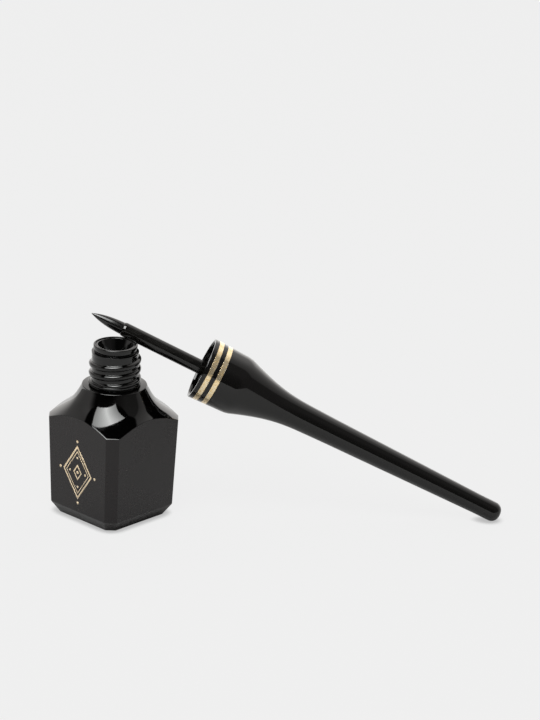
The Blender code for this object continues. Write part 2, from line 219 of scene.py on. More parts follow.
# The hollow. CHAMBER_FOOT says how far the chamber is drawn in at two heights near its floor.
WALL = 1.8
BORE_R = 4.78
BORE_TOP_Z = 44.35
BORE_FOOT_Z = 33.4
INNER_CORNER_CUT = 1.245
CHAMBER_STEPS = 24
CHAMBER_FOOT = ((0.73, 4.8), (1.9, 2.2))


def section_share(z):
    """How wide the body is at a height, as a share of its width at the shoulder's corners."""
    half = HALF_WIDTH + SIDE_LEAN * (max(z, FOOT_CUT_TOP) - FULL_WIDTH_Z)
    if z < FOOT_CUT_TOP:
        half -= FOOT_CUT_DEPTH * (FOOT_CUT_TOP - z) / FOOT_CUT_TOP
    return half / HALF_WIDTH


def section_corners():
    """One eighth of the body's outline at full width, from the middle of a side on."""
    side_end = (HALF_WIDTH, HALF_WIDTH - CORNER_CUT)
    cut_middle = (HALF_WIDTH - CORNER_CUT / 2, HALF_WIDTH - CORNER_CUT / 2)
    corner = rounded([(HALF_WIDTH, 0), side_end, cut_middle], [0, CORNER_ROUND, 0])
    before, after = corner[1], corner[-2]
    outline = [(HALF_WIDTH, before[1] * step / SIDE_STEPS) for step in range(SIDE_STEPS)]
    outline += [(HALF_WIDTH, before[1] - EDGE_HOLD)] + corner[1:-1]
    outline += [tuple(a + (b - a) * share for a, b in zip(after, cut_middle))
                for share in (0.05, 0.35, 0.68, 1.0)]
    return outline


def section_outline():
    """The body's whole outline at full width."""
    eighth = section_corners()
    quarter = eighth + [(y, x) for x, y in reversed(eighth[:-1])]
    outline = []
    for turn in range(4):
        spin = Matrix.Rotation(math.radians(90) * turn, 2)
        outline += [tuple(spin @ Vector(point)) for point in quarter[:-1]]
    return outline


def thread_rise(angle, z):
    """How far the screw thread stands out of the neck at an angle in the model's frame."""
    turns = (angle - THREAD_FRONT) / math.tau
    crest = THREAD_FRONT_Z + THREAD_PITCH * turns
    lap = round((z - crest) / THREAD_PITCH)
    travelled = turns + lap
    crest += THREAD_PITCH * lap
    fade = smooth_share(*THREAD_FADE_IN, travelled)
    fade *= 1 - smooth_share(*THREAD_FADE_OUT, travelled)
    half = THREAD_TOP_HALF if z > crest else THREAD_FOOT_HALF
    return THREAD_HEIGHT * fade * math.sqrt(max(0.0, 1 - ((z - crest) / half) ** 2))


def neck_line(angle):
    """The neck at one angle, from the lip's inner edge down to the ledge's outer edge."""
    line = rounded([(5.0, BORE_TOP_Z), (5.0, 45.05), (5.53, 45.05), (5.53, 44.3), (5.36, 43.56),
                    (5.14, 43.44), (5.14, 43.28), (5.93, 43.22), (5.93, 42.8),
                    (5.87, NECK_TOP_Z)],
                   [0, 0.12, 0.3, 0.4, 0.08, 0.05, 0.05, 0.04, 0.08, 0], 5)
    for step in range(1, NECK_ROWS):
        z = NECK_TOP_Z + (NECK_FOOT_Z - NECK_TOP_Z) * step / NECK_ROWS
        line.append((NECK_R + thread_rise(angle + BOTTLE_YAW, z), z))
    foot = rounded([(NECK_R, NECK_FOOT_Z), (6.58, 35.5), (6.58, 34.87), (6.12, 34.85),
                    (6.12, 34.45), (LEDGE_EDGE[0], 34.45), (8.2, 34.1)],
                   [0, 0.22, 0.12, 0.04, 0.1, 0.25, 0])
    return line + foot[:-1]


def arch_share_at(reach):
    """How far down the shoulder's curve it meets the side, at a reach of the outline."""
    low, high = 0.0, 1.0
    for _ in range(30):
        middle = (low + high) / 2
        r, z = bezier(*SHOULDER_LINE, middle)
        if r < reach * section_share(z):
            low = middle
        else:
            high = middle
    return low


def outer_column(angle, reach):
    """The bottle's outer skin where its outline has this angle and reach, from the lip down to
    the middle of the underside, and how many of its points lie above the side."""
    line = neck_line(angle)
    meeting = arch_share_at(reach)
    arch = Vector(bezier(*SHOULDER_LINE, meeting))
    line += [bezier(*SHOULDER_LINE, (meeting - ARCH_BEND_SHARE) * step / SHOULDER_ROWS)
             for step in range(1, SHOULDER_ROWS + 1)]
    bend_z = arch.y - ARCH_BEND_DROP
    line += bend(Vector(line[-1]), arch, Vector((reach * section_share(bend_z), bend_z)),
                 [step / 4 for step in range(1, 5)])
    above_side = len(line)
    side_top = bend_z - 0.8
    heights = [bend_z - 0.05, side_top]
    heights += [side_top + (SIDE_FOOT_Z - side_top) * step / SIDE_ROWS
                for step in range(1, SIDE_ROWS)]
    line += [(reach * section_share(z), z) for z in heights]
    foot = [(reach * section_share(z), z) for z in (SIDE_FOOT_Z, FOOT_CUT_TOP, 0.0)]
    line += rounded(foot + [(foot[-1][0] - 3, 0.0)], [0, 0.7, 0.22, 0], 5)
    line += [(reach * 0.45, 0.0), (0.0, 0.0)]
    return line, above_side


def inner_column(angle):
    """The bore and the ink chamber at one angle, from the lip's inner edge down."""
    from_side = abs((angle + math.pi / 4) % (math.pi / 2) - math.pi / 4)
    half = HALF_WIDTH - WALL
    cut_reach = (2 * half - INNER_CORNER_CUT) / math.sqrt(2)
    reach = min(half / math.cos(from_side), cut_reach / math.cos(math.pi / 4 - from_side))
    line = [(BORE_R, BORE_TOP_Z), (BORE_R, BORE_FOOT_Z)]
    meeting_z = None
    for step in range(1, CHAMBER_STEPS + 1):
        t = step / CHAMBER_STEPS
        r, z = bezier(*SHOULDER_LINE, t)
        before, after = (Vector(bezier(*SHOULDER_LINE, min(max(t + d, 0), 1)))
                         for d in (-0.01, 0.01))
        along = (after - before).normalized()
        r, z = r + WALL * along.y, z - WALL * along.x
        wall = reach * (half + SIDE_LEAN * (z - FULL_WIDTH_Z)) / half
        if meeting_z is None and r >= wall:
            meeting_z = z
        line.append((min(r, wall), z if meeting_z is None else meeting_z))
    line += [(reach * (half - drawn_in) / half, z) for drawn_in, z in CHAMBER_FOOT]
    return line + [(0, CHAMBER_FOOT[-1][1])]


def make_bottle(satin, polished):
    """Body, shoulder and neck in one hollow moulding: satin sides, and the rest polished."""
    columns = []
    for across, along in section_outline():
        angle = math.atan2(along, across)
        line, above_side = outer_column(angle, math.hypot(across, along))
        inside = inner_column(angle)
        columns.append(stood(list(reversed(inside)) + line, angle))
    shape = skinned(columns, second_below=len(inside) + above_side - 1)
    piece("bottle_moulding", shape, BOTTLE_PLACE, "bottle",
          [satin, polished], ["bottle"])


# The ornament: lozenges by half width, half height and line width, and dots by place and radius.
LOZENGES = ((5.1, 7.3, 0.42), (4.05, 5.8, 0.2), (1.5, 2.15, 0.3))
DOTS = ((0, 8.3, 0.36), (0, -8.3, 0.36), (6.1, 0, 0.36), (-6.1, 0, 0.36), (0, 3.9, 0.3),
        (0, -3.9, 0.3), (2.75, 0, 0.3), (-2.75, 0, 0.3), (0, 0, 0.42))
ORNAMENT_Z = 13.7
ORNAMENT_THICKNESS = 0.03
ORNAMENT_PROUD = 0.02


def make_ornament(foil):
    """Three lozenges in fine lines, one in another, with nine dots, stamped on the left side."""
    shape = bmesh.new()
    for half_wide, half_tall, line in LOZENGES:
        ring = bmesh.ops.create_circle(shape, cap_ends=True, radius=1.0, segments=4)
        bmesh.ops.scale(shape, vec=(half_wide, half_tall, 1), verts=ring["verts"])
        plate = list({face for vert in ring["verts"] for face in vert.link_faces})
        bmesh.ops.inset_region(shape, faces=plate, thickness=line, use_boundary=True,
                               use_even_offset=True)
        bmesh.ops.delete(shape, geom=plate, context="FACES")
    for across, along, radius in DOTS:
        bmesh.ops.create_circle(shape, cap_ends=True, radius=radius, segments=32,
                                matrix=Matrix.Translation((across, along, 0)))
    bmesh.ops.recalc_face_normals(shape, faces=shape.faces)
    bmesh.ops.solidify(shape, geom=shape.faces[:], thickness=ORNAMENT_THICKNESS)
    bmesh.ops.recalc_face_normals(shape, faces=shape.faces)
    reach = section_share(ORNAMENT_Z) * HALF_WIDTH
    quarter_turn = math.radians(90)
    stand = Matrix.Rotation(2 * quarter_turn, 4, "Z")
    stand = stand @ Matrix.Translation((reach + ORNAMENT_PROUD, 0, ORNAMENT_Z))
    stand = stand @ Matrix.Rotation(quarter_turn + math.atan(SIDE_LEAN), 4, "Y")
    stand = stand @ Matrix.Rotation(quarter_turn, 4, "Z")
    piece("stamped_ornament", shape, BOTTLE_PLACE @ stand, "bottle", [foil])


def make_wiper(plastic):
    """The sleeve in the neck, with a funnel mouth that narrows to the hole round the stem."""
    profile = rounded([(4.9, 44.86), (4.86, 44.42), (4.62, 44.4), (4.6, 38.1), (2.14, 35.7),
                       (2.12, 34.8), (1.72, 34.8), (1.72, 38.2), (3.0, 41.2), (4.45, 44.88)],
                      [0.08, 0.05, 0.05, 0.3, 0.3, 0.12, 0.12, 0.6, 1.6, 0.12], 6)
    piece("wiper_sleeve", spun(profile, 120, closed=True), BOTTLE_PLACE, "bottle",
          [plastic], ["wiper"])


# The applicator is drawn upright, with the mouth of its bell at height zero, the handle above
# and the nib below, and then laid along the line on which it leans.

LEAN = math.radians(25.0586)
MOUTH = Vector((21.3787, 6.3, 37.4556))
APPLICATOR_PLACE = Matrix.Translation(MOUTH) @ Matrix.Rotation(math.radians(90) + LEAN, 4, "Y")

# The bell and its two gold bands, by their height above the mouth. The corners of a groove are
# broken by BAND_EDGE, and the band fills what lies between them.
MOUTH_R = 8.04
BELL_TAPER = 0.0346
BELL_BORE_R = 7.18
RIM_END = 1.1
FRONT_BAND = 1.14
REAR_BAND = 3.54
BAND_WIDTH = 1.27
BAND_DEPTH = 0.1
BAND_EDGE = 0.02

# The handle: from the bell's knee it flares in to its throat and then tapers to its end.
KNEE = (7.68, 10.4)
KNEE_END = 11.45
THROAT = (3.4, 35.8)
FLARE_LENGTH = THROAT[1] - KNEE[1]
FLARE_PULL = 0.468 * FLARE_LENGTH
FLARE_SLOPE = 0.367
THROAT_PULL = 0.42 * FLARE_LENGTH
THROAT_SLOPE = 0.036
FLARE_LINE = (THROAT, (THROAT[0] + THROAT_SLOPE * THROAT_PULL, THROAT[1] - THROAT_PULL),
              (KNEE[0] - FLARE_SLOPE * FLARE_PULL, KNEE[1] + FLARE_PULL), KNEE)
FLARE_STEPS = 60
REAR = (2.5, 78.12)
REAR_STEPS = 24
END_CAP_ROUND = 2.1
END_CAP_FOOT = 82.62
END_CAP_STEPS = 16
TURNED_STEPS = 160

# The insert in the bell. Its thread has a crest at INSERT_CREST where the columns begin, and
# rises and sinks back over turns counted upwards from there.
INSERT_R = 6.58
INSERT_FOOT = 1.42
INSERT_TALL = 8.2
INSERT_ROWS = 60
INSERT_CREST = 2.2
INSERT_THREAD_HEIGHT = 0.46
INSERT_FADE_IN = (-0.5, -0.3)
INSERT_FADE_OUT = (1.7, 1.9)

# The stem and the nib, which hang below the mouth.
STEM_R = 1.83
STEM_TOP = 19.45
STEM_END = -22.3
NIB_R = 1.58
NIB_SHOULDER = -22.375
NIB_LENGTH = 8.5
NIB_STEPS = 48


def bell_r(height):
    return MOUTH_R - BELL_TAPER * height


def handle_line():
    """The handle's outer line from the rim of its bell to its rounded end."""
    line = rounded([(BELL_BORE_R, 0.42), (7.4, 0.0), (MOUTH_R, 0.0), (bell_r(RIM_END), RIM_END)],
                   [0, 0.08, 0.16, 0])
    for start in (FRONT_BAND, REAR_BAND):
        end = start + BAND_WIDTH
        line += [(bell_r(start) - BAND_EDGE, start + BAND_EDGE),
                 (bell_r(start) - BAND_DEPTH, start + BAND_EDGE),
                 (bell_r(end) - BAND_DEPTH, end - BAND_EDGE),
                 (bell_r(end) - BAND_EDGE, end - BAND_EDGE),
                 (bell_r(end), end + BAND_EDGE)]
    line += [(bell_r(height), height) for height in (6.0, 7.4, 8.6, 9.2)]
    flare = [bezier(*FLARE_LINE, 1 - step / FLARE_STEPS) for step in range(FLARE_STEPS + 1)]
    flare = [point for point in flare if point[1] > KNEE_END]
    line += bend(Vector(line[-1]), Vector(KNEE), Vector(flare[0]),
                 [step / 8 for step in range(1, 8)])
    line += flare
    line += [tuple(a + (b - a) * step / REAR_STEPS for a, b in zip(THROAT, REAR))
             for step in range(1, REAR_STEPS + 1)]
    line.append((REAR[0], 80.5))
    flat_r = REAR[0] - END_CAP_ROUND
    for step in range(END_CAP_STEPS + 1):
        angle = math.radians(90 * step / END_CAP_STEPS)
        line.append((flat_r + END_CAP_ROUND * math.cos(angle),
                     END_CAP_FOOT + END_CAP_ROUND * math.sin(angle)))
    line.append((0.0, END_CAP_FOOT + END_CAP_ROUND))
    return line


def make_handle(gloss):
    """The long handle with its bell in one moulding, bored out for the insert."""
    bore = [(0.0, 19.6), (3.0, 19.6), (3.0, 12.8), (5.67, 12.8), (BELL_BORE_R, 9.95),
            (BELL_BORE_R, 2.0)]
    piece("handle_shell_gloss", spun(bore + handle_line(), TURNED_STEPS), APPLICATOR_PLACE,
          "applicator", [gloss], ["handle_shell"])


def make_band(node, start, foil):
    """One gold band in its groove, with its edges turned down a little."""
    start, end = start + BAND_EDGE, start + BAND_WIDTH - BAND_EDGE
    profile = [(bell_r(start) - BAND_EDGE, start), (bell_r(start), start + 0.015),
               (bell_r(end), end - 0.015), (bell_r(end) - BAND_EDGE, end),
               (bell_r(end) - BAND_DEPTH, end), (bell_r(start) - BAND_DEPTH, start)]
    piece(node + "_foil", spun(profile, TURNED_STEPS, closed=True, hold=0.006),
          APPLICATOR_PLACE, "applicator", [foil], [node])


def make_insert(plastic):
    """The threaded cup in the bell, with the thread that takes the neck's."""
    columns = []
    side = rounded([(5.7, 12.65), (7.03, 9.8), (7.03, 1.3), (6.6, 1.3)], [0, 0.2, 0.12, 0])
    for step in range(TURNED_STEPS):
        turns = step / TURNED_STEPS
        line = [(1.905, STEM_TOP), (2.85, STEM_TOP), (2.85, 12.65)] + side
        for row in range(INSERT_ROWS + 1):
            height = INSERT_FOOT + INSERT_TALL * row / INSERT_ROWS
            crest = INSERT_CREST - THREAD_PITCH * turns
            lap = round((height - crest) / THREAD_PITCH)
            travelled = lap - turns
            fade = smooth_share(*INSERT_FADE_IN, travelled)
            fade *= 1 - smooth_share(*INSERT_FADE_OUT, travelled)
            ridge = 1 - smooth_share(0.12, 0.62, abs(height - crest - THREAD_PITCH * lap))
            line.append((INSERT_R - INSERT_THREAD_HEIGHT * fade * ridge, height))
        line += [(INSERT_R, 9.8), (5.3, 11.55), (1.905, 11.55)]
        columns.append(stood(line, math.tau * turns))
    piece("threaded_insert", skinned(columns, closed_profile=True), APPLICATOR_PLACE,
          "applicator", [plastic], ["inner_cap"])


def make_washer(foam):
    """The foam washer against the insert's plate, which seals on the lip."""
    profile = rounded([(2.0, 10.6), (4.88, 10.6), (4.88, 11.4), (2.0, 11.4)],
                      [0.0, 0.12, 0.12, 0.0], 3)
    piece("sealing_washer", spun(profile, 120, closed=True), APPLICATOR_PLACE, "washer",
          [foam], ["cap_washer"])


def make_stem(plastic):
    """The thin rod, with the bore in its end that holds the nib's tail."""
    line = rounded([(0.0, STEM_TOP), (1.53, STEM_TOP), (STEM_R, 19.15), (STEM_R, -21.75),
                    (1.62, STEM_END), (1.18, STEM_END), (1.18, -17.8), (0.0, -17.75)],
                   [0, 0.05, 0.05, 0.1, 0.08, 0, 0, 0])
    stretched = []
    for first, second in zip(line, line[1:]):
        cuts = max(1, int(abs(second[1] - first[1]) / 1.2))
        stretched += [tuple(a + (b - a) * cut / cuts for a, b in zip(first, second))
                      for cut in range(cuts)]
    piece("stem_rod", spun(stretched + [line[-1]], 96), APPLICATOR_PLACE, "applicator",
          [plastic], ["stem"])


def make_nib(felt):
    """The pointed tip: a tail in the stem, a shoulder, and a curve that closes to a point."""
    tip = NIB_SHOULDER - NIB_LENGTH
    curve = ((NIB_R, NIB_SHOULDER), (0.95 * NIB_R, NIB_SHOULDER - 0.42 * NIB_LENGTH),
             (0.66 * NIB_R, tip + 0.27 * NIB_LENGTH), (0.08, tip))
    line = [(0.0, -17.9), (1.1, -17.9), (1.1, -22.1), (1.1, NIB_SHOULDER), (1.5, NIB_SHOULDER)]
    line += [bezier(*curve, step / NIB_STEPS) for step in range(NIB_STEPS + 1)]
    line += [(0.05, tip - 0.02), (0.0, tip - 0.03)]
    piece("inked_nib", spun(line, 96), APPLICATOR_PLACE, "applicator", [felt],
          ["nib"])


# Finishes. A Reading wraps a socket, so that sums on it add Math nodes to its sheet.

class Reading:
    def __init__(self, sheet, socket):
        self.sheet, self.socket = sheet, socket

    def math(self, operation, *others):
        return self.sheet.math(operation, self, *others)

    def __add__(self, other):
        return self.math("ADD", other)

    def __sub__(self, other):
        return self.math("SUBTRACT", other)

    def __mul__(self, other):
        return self.math("MULTIPLY", other)

    def __truediv__(self, other):
        return self.math("DIVIDE", other)

    def __radd__(self, other):
        return self.sheet.math("ADD", other, self)

    def __rsub__(self, other):
        return self.sheet.math("SUBTRACT", other, self)

    def __rmul__(self, other):
        return self.sheet.math("MULTIPLY", other, self)

    def __rtruediv__(self, other):
        return self.sheet.math("DIVIDE", other, self)


class Sheet:
    """The node sheet of a finish, a lamp or the studio's surroundings."""

    def __init__(self, owner):
        owner.use_nodes = True
        self.tree = owner.node_tree

    def found(self, kind):
        return next(node for node in self.tree.nodes if node.bl_idname == kind)

    def feed(self, node, sockets):
        """Sets a node's sockets: a Reading is linked, and anything else is its value."""
        for key, value in sockets.items():
            if isinstance(value, Reading):
                self.tree.links.new(value.socket, node.inputs[key])
            else:
                node.inputs[key].default_value = value

    def add(self, kind, output, settings=(), sockets=()):
        """A new node: its settings first, then the values or links of its sockets. The stops
        of a ramp are places with their grey levels."""
        node = self.tree.nodes.new(kind)
        for key, value in dict(settings).items():
            if key == "stops":
                ramp = node.color_ramp
                while len(ramp.elements) < len(value):
                    ramp.elements.new(0.5)
                for element, (place, level) in zip(ramp.elements, value):
                    element.position = place
                    element.color = (level, level, level, 1)
            else:
                setattr(node, key, value)
        self.feed(node, dict(sockets))
        return Reading(self, node.outputs[output])

    def math(self, operation, *values):
        return self.add("ShaderNodeMath", 0, {"operation": operation}, enumerate(values))

    def rise(self, value, low, high):
        """0 below low and 1 above high, with a smooth climb between."""
        return self.add("ShaderNodeMapRange", "Result", {"interpolation_type": "SMOOTHSTEP"},
                        {"Value": value, "From Min": low, "From Max": high})

    def place(self):
        return self.add("ShaderNodeTexCoord", "Object")

    def grain(self, size, detail=2.0, stretch=(1, 1, 1), roughness=0.5):
        """Noise with features of about this size in millimetres."""
        spot = self.add("ShaderNodeMapping", "Vector", {},
                        {"Vector": self.place(), "Scale": stretch})
        return self.add("ShaderNodeTexNoise", "Fac", {}, {
            "Vector": spot, "Scale": 1 / (size * MM), "Detail": detail, "Roughness": roughness})

    def cells(self, spacing):
        """How far a spot is from the middle of its cell, with a cell to this many millimetres."""
        return self.add("ShaderNodeTexVoronoi", "Distance", {}, {
            "Vector": self.place(), "Scale": 1 / (spacing * MM)})

    def specks(self, spacing, size):
        """Small round spots, about one to each cell of this spacing in millimetres."""
        return 1 - self.rise(self.cells(spacing), size / spacing * 0.6, size / spacing)

    def mixed(self, share, first, second):
        """Two colours by a share of the second. A Mix node has its colours at sockets 6 and 7."""
        return self.add("ShaderNodeMix", 2, {"data_type": "RGBA"},
                        {0: share, 6: first, 7: second})

    def tinted(self, tint, amount):
        """A colour at a strength that varies."""
        return self.add("ShaderNodeVectorMath", 0, {"operation": "SCALE"},
                        {0: tint, "Scale": amount})

    def bump(self, height, strength, depth):
        return self.add("ShaderNodeBump", "Normal", {}, {
            "Height": height, "Strength": strength, "Distance": depth * MM})


def tone(red, green, blue):
    return (red, green, blue, 1.0)


def finish(name, **constants):
    """A new material; constants go on its shader's own sockets."""
    material = bpy.data.materials.new(name)
    sheet = Sheet(material)
    shader = sheet.found("ShaderNodeBsdfPrincipled")
    for key, value in constants.items():
        shader.inputs[key.replace("_", " ").title()].default_value = value
    return material, sheet, shader


def satin_finish():
    """The flat sides: satin from the mould, with a fine orange peel and a few dust specks."""
    material, sheet, shader = finish("satin_faces")
    cloud = sheet.grain(9.0, 3.0)
    peel = sheet.grain(0.35, 3.0)
    dust = sheet.specks(2.6, 0.07) * sheet.rise(sheet.grain(4.0), 0.5, 0.6)
    body = sheet.mixed(cloud, tone(0.0030, 0.0008, 0.0014), tone(0.0042, 0.0016, 0.0024))
    sheet.feed(shader, {
        "Base Color": sheet.mixed(dust, body, tone(0.06, 0.055, 0.05)),
        "Roughness": 0.23 + 0.05 * cloud + 0.03 * peel,
        "Normal": sheet.bump(peel + dust, 0.03, 0.02)})
    return material


def polished_finish():
    """The shoulder and neck: polished, with faint flow marks and a speck here and there."""
    material, sheet, shader = finish("polished_shoulder")
    cloud = sheet.grain(5.0, 3.0)
    wipe = sheet.grain(0.5, 3.0, stretch=(1, 1, 0.12))
    dust = sheet.specks(3.1, 0.06) * sheet.rise(sheet.grain(3.0), 0.52, 0.6)
    body = sheet.mixed(cloud, tone(0.0005, 0.0005, 0.0005), tone(0.0011, 0.0010, 0.0009))
    sheet.feed(shader, {
        "Base Color": sheet.mixed(dust, body, tone(0.12, 0.12, 0.12)),
        "Roughness": 0.03 + 0.03 * cloud + 0.02 * wipe,
        "Normal": sheet.bump(wipe + dust, 0.04, 0.01)})
    return material


def handle_finish():
    """High gloss black with hair-fine rub marks along it and a few dust specks."""
    material, sheet, shader = finish("handle_gloss")
    cloud = sheet.grain(7.0, 3.0)
    rub = sheet.grain(0.3, 4.0, stretch=(0.06, 1, 1))
    dust = sheet.specks(3.4, 0.06) * sheet.rise(sheet.grain(3.0), 0.54, 0.62)
    body = sheet.mixed(cloud, tone(0.0014, 0.0012, 0.0011), tone(0.0024, 0.0020, 0.0018))
    sheet.feed(shader, {
        "Base Color": sheet.mixed(dust, body, tone(0.10, 0.10, 0.10)),
        "Roughness": 0.02 + 0.02 * cloud + 0.02 * rub,
        "Normal": sheet.bump(rub + dust, 0.04, 0.01)})
    return material


def foil_finish(name, bright, dull, metallic):
    """Thin foil pressed on plastic: bright, with slightly duller and deeper coloured patches."""
    material, sheet, shader = finish(name, metallic=metallic)
    mottle = sheet.grain(0.7, 4.0, roughness=0.6)
    fine = sheet.grain(0.15, 3.0)
    pressed = sheet.rise(mottle + 0.4 * fine, 0.5, 0.9)
    sheet.feed(shader, {
        "Base Color": sheet.mixed(pressed, bright, dull),
        "Roughness": 0.07 + 0.16 * pressed,
        "Normal": sheet.bump(mottle, 0.035, 0.01)})
    return material


def moulded_finish(name):
    """Plain moulded black plastic for the pieces inside."""
    material, sheet, shader = finish(name)
    cloud = sheet.grain(2.5, 3.0)
    fine = sheet.grain(0.12, 3.0)
    sheet.feed(shader, {
        "Base Color": sheet.mixed(cloud, tone(0.0010, 0.0010, 0.0009),
                                  tone(0.0024, 0.0022, 0.0021)),
        "Roughness": 0.08 + 0.06 * cloud,
        "Normal": sheet.bump(fine, 0.06, 0.01)})
    return material


def foam_finish():
    """Closed-cell foam: small cells in a pale skin, stained by ink."""
    material, sheet, shader = finish("washer_foam_finish")
    cells = sheet.cells(0.22)
    stain = sheet.rise(sheet.grain(1.5, 3.0), 0.45, 0.75)
    pale = sheet.mixed(cells, tone(0.62, 0.60, 0.56), tone(0.76, 0.75, 0.71))
    sheet.feed(shader, {
        "Base Color": sheet.mixed(stain * 0.8, pale, tone(0.03, 0.03, 0.03)),
        "Roughness": 0.7 + 0.2 * cells,
        "Normal": sheet.bump(cells, 0.5, 0.05)})
    return material


def stem_finish():
    """The stem: black plastic with a drying film of ink that runs along it."""
    material, sheet, shader = finish("stem_wet_black")
    runs = sheet.grain(0.9, 3.0, stretch=(0.14, 1, 1))
    film = sheet.rise(runs, 0.4, 0.65)
    sheet.feed(shader, {
        "Base Color": sheet.mixed(film, tone(0.0052, 0.0046, 0.0040),
                                  tone(0.0026, 0.0024, 0.0022)),
        "Roughness": 0.16 - 0.08 * film + 0.03 * sheet.grain(0.2, 3.0),
        "Normal": sheet.bump(runs, 0.05, 0.02)})
    return material


def nib_finish():
    """Felt soaked in ink: fine fibres along the nib under a wet gloss."""
    material, sheet, shader = finish("inked_felt_finish", coat_weight=0.2, coat_roughness=0.05)
    fibres = sheet.grain(0.14, 4.0, stretch=(0.10, 1, 1))
    pools = sheet.grain(0.8, 2.0)
    sheet.feed(shader, {
        "Base Color": sheet.mixed(fibres, tone(0.0018, 0.0018, 0.0018),
                                  tone(0.0042, 0.0040, 0.0040)),
        "Roughness": 0.13 + 0.08 * fibres + 0.05 * pools,
        "Normal": sheet.bump(fibres + 0.6 * pools, 0.05, 0.03)})
    return material


satin_faces = satin_finish()
polished_shoulder = polished_finish()
wiper_plastic = moulded_finish("wiper_black")
handle_gloss = handle_finish()
gold_foil = foil_finish("gold_foil_finish", tone(1.0, 0.87, 0.63), tone(1.0, 0.74, 0.38), 0.82)
stamped_foil = foil_finish("stamped_foil_finish", tone(1.0, 0.83, 0.60), tone(1.0, 0.76, 0.48),
                           0.4)
insert_plastic = moulded_finish("insert_black")
washer_foam = foam_finish()
stem_plastic = stem_finish()
inked_felt = nib_finish()

make_bottle(satin_faces, polished_shoulder)
make_ornament(stamped_foil)
make_wiper(wiper_plastic)
make_handle(handle_gloss)
make_band("gold_band_front", FRONT_BAND, gold_foil)
make_band("gold_band_rear", REAR_BAND, gold_foil)
make_insert(insert_plastic)
make_washer(washer_foam)
make_stem(stem_plastic)
make_nib(inked_felt)


# The studio: a pale floor, one softbox high in front, dim walls at the sides, a bright wall
# behind and darkness behind the camera. Directions are in the model's frame: bearings turn
# from +X towards +Y, and heights are above the horizon.

OBJECT_MIDDLE = Vector((0.03, 0.0, 0.025))

# The paper's level, and how much of it the camera sees. The rest is lit paper with the shadow.
PAPER = 0.876
PAPER_SHARE = 0.94

# How bright the walls are and how high they reach, by bearing. They run once round.
WALLS_START = -270
WALL_EDGE = 2.0
WALL_LEVELS = ((-270, 1.15), (-252, 1.2), (-241, 1.15), (-233, 0.95), (-226, 0.6),
               (-220, 0.56), (-196, 0.6), (-182, 0.74), (-170, 0.8), (-164, 0.55),
               (-158, 0.22), (-150, 0.02), (-92, 0.0), (-84, 0.04), (-76, 0.1),
               (-60, 0.14), (-46, 0.2), (-7, 0.2), (-3, 0.46), (10, 0.6), (20, 0.68),
               (30, 0.83), (40, 1.03), (52, 1.2), (90, 1.15))
WALL_TOPS = ((-270, 74), (-215, 60), (-200, 58), (-190, 54), (-180, 49.5), (-170, 44),
             (-160, 37), (-80, 36), (-60, 39), (-50, 45), (-40, 52), (-30, 58), (0, 59),
             (15, 64), (90, 74))

# How much brighter the low part of the wall behind is, by bearing.
BACKDROP_LEVELS = ((-270, 0.55), (-240, 0.4), (-226, 0.08), (-220, 0.0), (42, 0.0),
                   (56, 0.55), (90, 0.55))

# A painted glow on the floor that only gloss mirrors, from 0.19 m in front of its middle to 0.44
# m behind it.
FLOOR_GLOW_LEVELS = ((0.0, 0.0), (0.3, 0.0), (0.38, 0.12), (0.5, 0.34), (0.72, 0.62), (1.0, 1.0))

# The softbox. Its sizes and its lift are shares of how far away it is, and its core's place is
# a share of its width.
SOFTBOX_BEARING = math.radians(-112)
SOFTBOX_HEIGHT = math.radians(58)
SOFTBOX_WIDTH = 0.93
SOFTBOX_TALL = 0.79
SOFTBOX_LIFT = 0.07
SOFTBOX_CORE = 0.49
SOFTBOX_FADE = 2.25
SOFTBOX_LEVEL = 14.6
LAMP_ENERGY_BY_AREA = 4

# The camera: a long lens in front of the object and above it.
CAMERA_SPOT = Vector((64.285, -932.656, 390.509))
CAMERA_TURN = math.radians(1.578)
CAMERA_TILT = math.radians(90 - 20.442)
CAMERA_ROLL = math.radians(2.256)


def make_floor():
    """The floor: plain paper with the object's shadow. The camera sees it at the paper's own
    level, darkened by a painted contact shadow where the object stands close over it. For gloss
    rays it also glows, more towards the back, as a painted glow."""
    shape = bmesh.new()
    bmesh.ops.create_grid(shape, x_segments=1, y_segments=1, size=3.0)
    mesh = bpy.data.meshes.new("floor")
    shape.to_mesh(mesh)
    shape.free()
    item = bpy.data.objects.new("floor", mesh)
    bpy.context.scene.collection.objects.link(item)
    material, sheet, shader = finish("floor_paper")
    camera_ray = sheet.add("ShaderNodeLightPath", "Is Camera Ray")
    glossy_ray = sheet.add("ShaderNodeLightPath", "Is Glossy Ray")
    back = sheet.add("ShaderNodeSeparateXYZ", "Y", {}, {0: sheet.place()})
    # Painted glow: the floor emits light for gloss rays only, none in front and rising towards
    # the back.
    gloss_glow = sheet.add("ShaderNodeValToRGB", 0, {"stops": FLOOR_GLOW_LEVELS}, {0: back * 1.6 + 0.3})
    sheet.feed(shader, {
        "Base Color": tone(0.58, 0.58, 0.58), "Roughness": 0.95,
        "Emission Color": sheet.tinted((1.0, 0.99, 0.98), gloss_glow * glossy_ray),
        "Emission Strength": 1.0})
    # Painted contact shadow: ambient occlusion darkens the glow the camera sees where the object
    # stands close over the floor.
    contact = sheet.add("ShaderNodeAmbientOcclusion", "AO", {"samples": 16},
                        {"Distance": 2.4 * MM})
    glow = sheet.add("ShaderNodeEmission", 0, {}, {"Color": sheet.tinted(
        (PAPER, PAPER, PAPER), 0.6 + 0.4 * sheet.rise(contact, 0.3, 0.9))})
    mix = sheet.add("ShaderNodeMixShader", 0, {}, {
        0: camera_ray * PAPER_SHARE, 1: Reading(sheet, shader.outputs[0]), 2: glow})
    sheet.feed(sheet.found("ShaderNodeOutputMaterial"), {"Surface": mix})
    mesh.materials.append(material)


